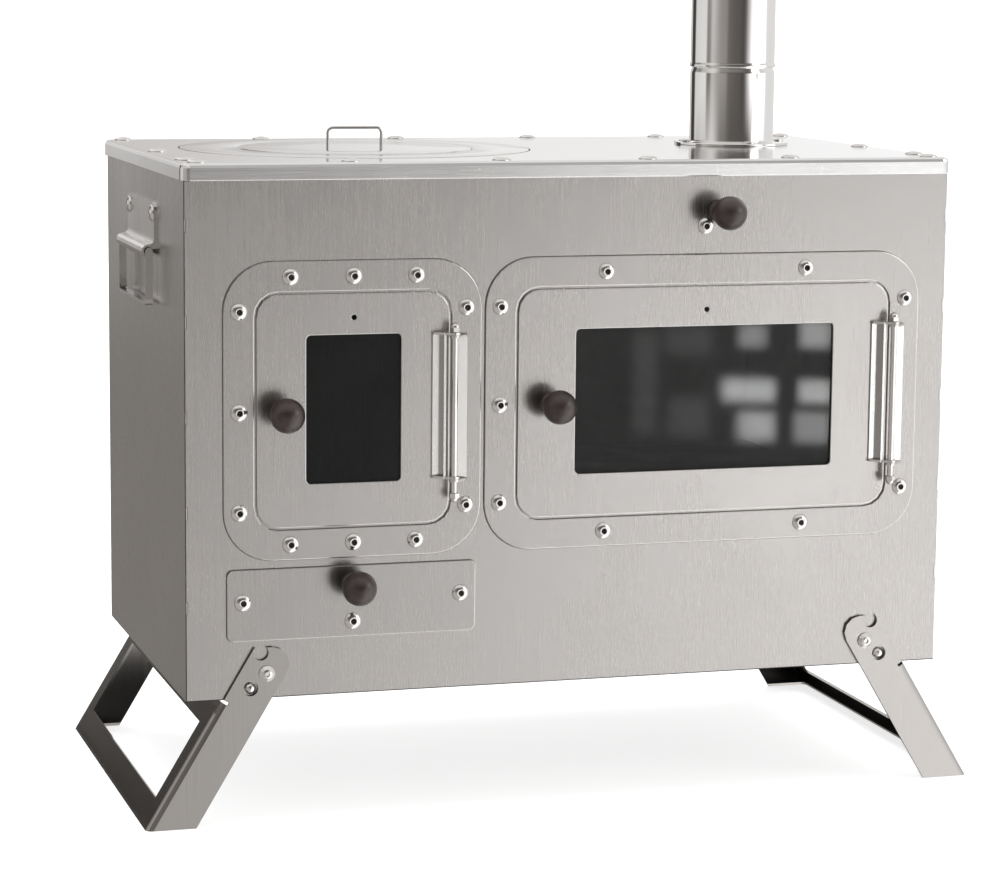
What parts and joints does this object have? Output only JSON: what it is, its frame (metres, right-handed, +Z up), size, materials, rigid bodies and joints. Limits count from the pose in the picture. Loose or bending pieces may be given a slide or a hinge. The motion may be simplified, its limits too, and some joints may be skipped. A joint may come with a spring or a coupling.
{
  "type": "tent wood stove",
  "caption": "Folding-leg sheet steel tent stove with a windowed firebox door, an oven beside it, an ash drawer, a hob and a flue with a damper.",
  "frame": {"origin": "centre of the overall box at floor level, under the feet", "axes": "+X to the stove's right as seen from the front, -Y towards the doors, +Z up along the flue"},
  "size_m": [0.5738, 0.3236, 0.8118],
  "materials": {
    "brushed_steel": "brushed stainless steel, fine upright grain",
    "top_steel": "smooth cold-rolled stainless steel",
    "polished_steel": "polished stainless steel",
    "fastener_steel": "bright stainless steel",
    "inner_steel": "plain sheet steel, dull",
    "dark_steel": "heat-darkened sheet steel",
    "knob_resin": "satin moulded heat-proof resin",
    "door_glass": "smooth ceramic glass"
  },
  "bodies": {
    "stove_body": {"front_panel": "brushed_steel", "body_wrap": "brushed_steel", "bottom_panel": "brushed_steel", "lid": "top_steel", "hob_seat_ring": "inner_steel", "flue_collar": "polished_steel", "firebox_frame": "brushed_steel", "firebox_hinge_frame_leaf": "polished_steel", "firebox_hinge_pin": "fastener_steel", "oven_frame": "brushed_steel", "oven_hinge_frame_leaf": "polished_steel", "oven_hinge_pin": "fastener_steel", "ash_runner_left": "inner_steel", "ash_runner_right": "inner_steel", "fire_grate": "dark_steel", "grate_ledge_left": "inner_steel", "grate_ledge_right": "inner_steel", "chamber_divider": "inner_steel", "oven_liner": "inner_steel", "damper_rail_left": "inner_steel", "damper_rail_right": "inner_steel", "damper_guide": "inner_steel", "left_front_pivot_bolt": "fastener_steel", "left_back_pivot_bolt": "fastener_steel", "right_front_pivot_bolt": "fastener_steel", "right_back_pivot_bolt": "fastener_steel", "left_handle_bracket": "polished_steel", "right_handle_bracket": "polished_steel"},
    "firebox_door_leaf": {"firebox_door": "brushed_steel", "firebox_glass": "door_glass", "firebox_glass_retainer": "inner_steel", "firebox_hinge_door_leaf": "polished_steel"},
    "firebox_latch_turn": {"firebox_latch": "fastener_steel", "firebox_knob": "knob_resin"},
    "oven_door_leaf": {"oven_door": "brushed_steel", "oven_glass": "door_glass", "oven_glass_retainer": "inner_steel", "oven_hinge_door_leaf": "polished_steel"},
    "oven_latch_turn": {"oven_latch": "fastener_steel", "oven_knob": "knob_resin"},
    "ash_drawer": {"ash_drawer_front": "brushed_steel", "ash_drawer_tray": "inner_steel", "ash_drawer_knob": "knob_resin"},
    "damper": {"damper_plate": "dark_steel", "damper_rod": "fastener_steel", "damper_knob": "knob_resin"},
    "ring": {"hob_ring": "top_steel"},
    "disc": {"hob_disc": "top_steel", "hob_disc_handle": "polished_steel"},
    "chimney": {"chimney_pipe": "polished_steel"},
    "left_leg_frame": {"left_leg": "brushed_steel"},
    "right_leg_frame": {"right_leg": "brushed_steel"},
    "left_front_lock_button": {"left_front_lock": "fastener_steel"},
    "left_back_lock_button": {"left_back_lock": "fastener_steel"},
    "right_front_lock_button": {"right_front_lock": "fastener_steel"},
    "right_back_lock_button": {"right_back_lock": "fastener_steel"},
    "left_bail": {"left_handle_bail": "polished_steel"},
    "right_bail": {"right_handle_bail": "polished_steel"}
  },
  "joints": [
    {"name": "firebox_door_hinge", "type": "hinge", "parent": "stove_body", "child": "firebox_door_leaf", "pos_m": [-0.0858, -0.13962, 0.2688], "axis": [0, 0, 1], "range_deg": [0, 115]},
    {"name": "firebox_latch_pivot", "type": "hinge", "parent": "firebox_door_leaf", "child": "firebox_latch_turn", "pos_m": [-0.1982, -0.12962, 0.2688], "axis": [0, 1, 0], "range_deg": [0, 90]},
    {"name": "oven_door_hinge", "type": "hinge", "parent": "stove_body", "child": "oven_door_leaf", "pos_m": [0.2196, -0.13962, 0.2688], "axis": [0, 0, 1], "range_deg": [0, 140]},
    {"name": "oven_latch_pivot", "type": "hinge", "parent": "oven_door_leaf", "child": "oven_latch_turn", "pos_m": [-0.018, -0.12962, 0.2688], "axis": [0, 1, 0], "range_deg": [0, 90]},
    {"name": "ash_drawer_slide", "type": "slide", "parent": "stove_body", "child": "ash_drawer", "axis": [0, -1, 0], "range_m": [0, 0.2]},
    {"name": "damper_slide", "type": "slide", "parent": "stove_body", "child": "damper", "axis": [0, -1, 0], "range_m": [0, 0.068]},
    {"name": "hob_ring_lift", "type": "slide", "parent": "stove_body", "child": "ring", "axis": [0, 0, 1], "range_m": [0, 0.06]},
    {"name": "hob_disc_lift", "type": "slide", "parent": "ring", "child": "disc", "axis": [0, 0, 1], "range_m": [0, 0.05]},
    {"name": "chimney_lift", "type": "slide", "parent": "stove_body", "child": "chimney", "axis": [0, 0, 1], "range_m": [0, 0.05]},
    {"name": "left_leg_fold", "type": "hinge", "parent": "stove_body", "child": "left_leg_frame", "pos_m": [-0.2078, 0.01337, 0.0994], "axis": [0, -1, 0], "range_deg": [0, 116.5], "deforming": ["left_front_lock", "left_back_lock"]},
    {"name": "right_leg_fold", "type": "hinge", "parent": "stove_body", "child": "right_leg_frame", "pos_m": [0.2078, 0.01337, 0.0994], "axis": [0, 1, 0], "range_deg": [0, 116.5], "deforming": ["right_front_lock", "right_back_lock"]},
    {"name": "left_front_lock_press", "type": "slide", "parent": "stove_body", "child": "left_front_lock_button", "axis": [0, 1, 0], "range_m": [0, 0.0035], "stiffness_N_per_m": 400},
    {"name": "left_back_lock_press", "type": "slide", "parent": "stove_body", "child": "left_back_lock_button", "axis": [0, -1, 0], "range_m": [0, 0.0035], "stiffness_N_per_m": 400},
    {"name": "right_front_lock_press", "type": "slide", "parent": "stove_body", "child": "right_front_lock_button", "axis": [0, 1, 0], "range_m": [0, 0.0035], "stiffness_N_per_m": 400},
    {"name": "right_back_lock_press", "type": "slide", "parent": "stove_body", "child": "right_back_lock_button", "axis": [0, -1, 0], "range_m": [0, 0.0035], "stiffness_N_per_m": 400},
    {"name": "left_bail_swing", "type": "hinge", "parent": "stove_body", "child": "left_bail", "pos_m": [-0.2652, 0.01337, 0.364], "axis": [0, 1, 0], "range_deg": [0, 90]},
    {"name": "right_bail_swing", "type": "hinge", "parent": "stove_body", "child": "right_bail", "pos_m": [0.2652, 0.01337, 0.364], "axis": [0, -1, 0], "range_deg": [0, 90]}
  ]
}
